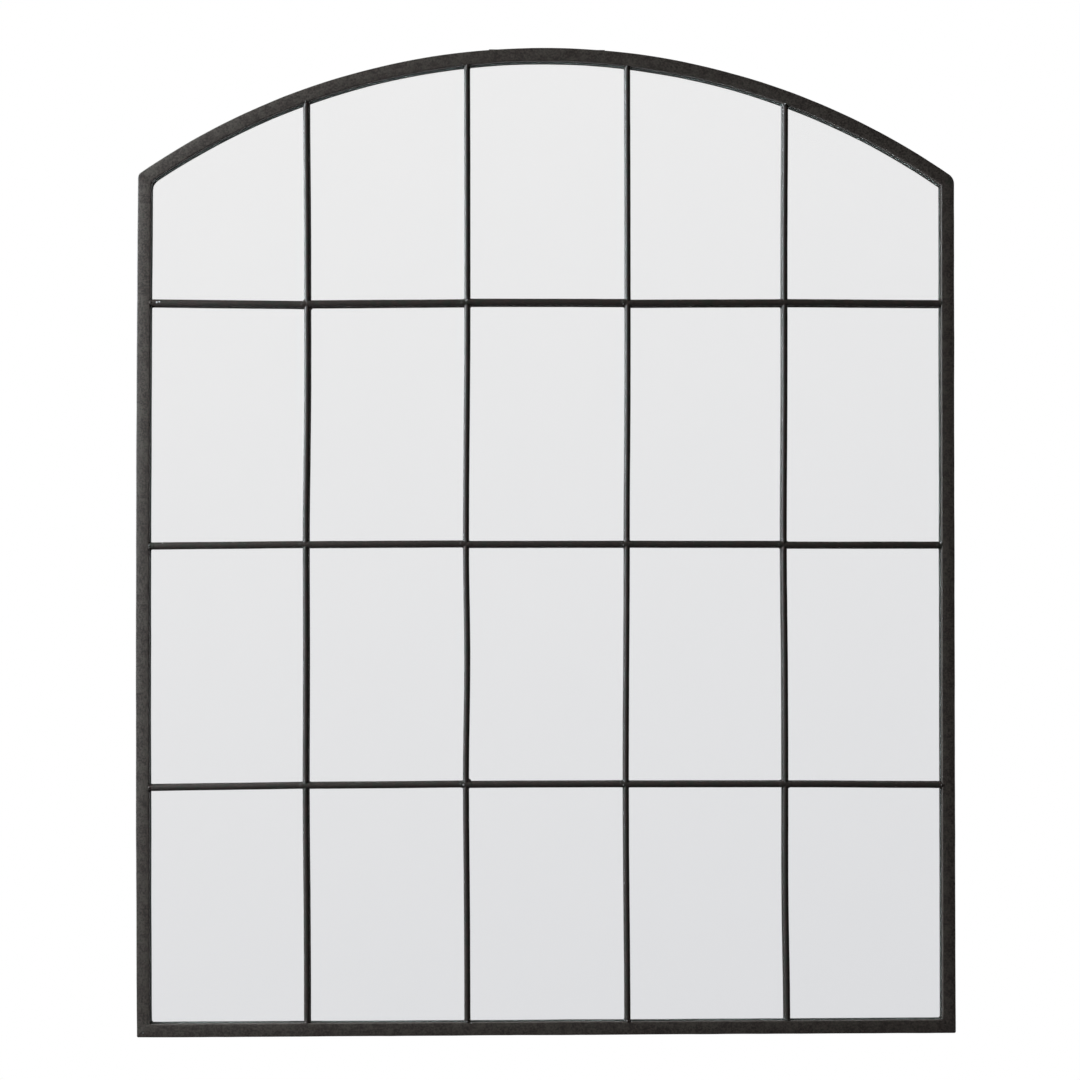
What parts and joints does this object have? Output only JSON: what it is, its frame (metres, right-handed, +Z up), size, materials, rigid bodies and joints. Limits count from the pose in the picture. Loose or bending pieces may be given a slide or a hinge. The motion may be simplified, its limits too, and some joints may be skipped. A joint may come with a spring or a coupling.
{
  "type": "arched window mirror",
  "caption": "Wall mirror built as an arched steel window: tube frame with a bent head, round-rod grille over one mirror, board back held by swivelling buttons, keyhole hanger.",
  "frame": {"origin": "midway between the centres of the two keyholes' round holes, on the plane of the wall", "axes": "+Z up, +X to the right seen from the front, +Y towards the wall; the mirror faces -Y"},
  "size_m": [0.8, 0.018, 0.966],
  "materials": {
    "frame_paint": "near-black warm bronze paint, finely mottled, slightly rough",
    "clear_glass": "clear 3 mm float glass with ground edges",
    "silvering": "polished silver",
    "liner_card": "plain grey-brown card",
    "hardboard": "brown pressed hardboard, smooth side out",
    "button_steel": "dull zinc-plated strip",
    "zinc_steel": "bright zinc-plated screws",
    "bumper_rubber": "soft matt black rubber"
  },
  "bodies": {
    "window": {"left_jamb": "frame_paint", "right_jamb": "frame_paint", "sill": "frame_paint", "arched_head": "frame_paint", "upright_rod_1": "frame_paint", "upright_rod_2": "frame_paint", "upright_rod_3": "frame_paint", "upright_rod_4": "frame_paint", "cross_bar_low_1": "frame_paint", "cross_bar_low_2": "frame_paint", "cross_bar_low_3": "frame_paint", "cross_bar_low_4": "frame_paint", "cross_bar_low_5": "frame_paint", "cross_bar_middle_1": "frame_paint", "cross_bar_middle_2": "frame_paint", "cross_bar_middle_3": "frame_paint", "cross_bar_middle_4": "frame_paint", "cross_bar_middle_5": "frame_paint", "cross_bar_high_1": "frame_paint", "cross_bar_high_2": "frame_paint", "cross_bar_high_3": "frame_paint", "cross_bar_high_4": "frame_paint", "cross_bar_high_5": "frame_paint", "hanger_plate": "frame_paint", "mirror_glass": "clear_glass", "mirror_silvering": "silvering", "card_liner": "liner_card", "backing_board": "hardboard", "turn_button_screws": "zinc_steel", "wall_bumper_left": "bumper_rubber", "wall_bumper_right": "bumper_rubber"},
    "turn_button_1": {"turn_button_1": "button_steel"},
    "turn_button_2": {"turn_button_2": "button_steel"},
    "turn_button_3": {"turn_button_3": "button_steel"},
    "turn_button_4": {"turn_button_4": "button_steel"},
    "turn_button_5": {"turn_button_5": "button_steel"},
    "turn_button_6": {"turn_button_6": "button_steel"},
    "turn_button_7": {"turn_button_7": "button_steel"},
    "turn_button_8": {"turn_button_8": "button_steel"}
  },
  "joints": [
    {"name": "turn_button_1_swivel", "type": "hinge", "parent": "window", "child": "turn_button_1", "pos_m": [-0.394, -0.006, -0.6874], "axis": [0, 1, 0], "continuous": true},
    {"name": "turn_button_2_swivel", "type": "hinge", "parent": "window", "child": "turn_button_2", "pos_m": [0.394, -0.006, -0.6874], "axis": [0, 1, 0], "continuous": true},
    {"name": "turn_button_3_swivel", "type": "hinge", "parent": "window", "child": "turn_button_3", "pos_m": [-0.394, -0.006, -0.2182], "axis": [0, 1, 0], "continuous": true},
    {"name": "turn_button_4_swivel", "type": "hinge", "parent": "window", "child": "turn_button_4", "pos_m": [0.394, -0.006, -0.2182], "axis": [0, 1, 0], "continuous": true},
    {"name": "turn_button_5_swivel", "type": "hinge", "parent": "window", "child": "turn_button_5", "pos_m": [-0.2328, -0.006, -0.928], "axis": [0, 1, 0], "continuous": true},
    {"name": "turn_button_6_swivel", "type": "hinge", "parent": "window", "child": "turn_button_6", "pos_m": [-0.2328, -0.006, -0.01434], "axis": [0, 1, 0], "continuous": true},
    {"name": "turn_button_7_swivel", "type": "hinge", "parent": "window", "child": "turn_button_7", "pos_m": [0.2328, -0.006, -0.928], "axis": [0, 1, 0], "continuous": true},
    {"name": "turn_button_8_swivel", "type": "hinge", "parent": "window", "child": "turn_button_8", "pos_m": [0.2328, -0.006, -0.01434], "axis": [0, 1, 0], "continuous": true}
  ]
}
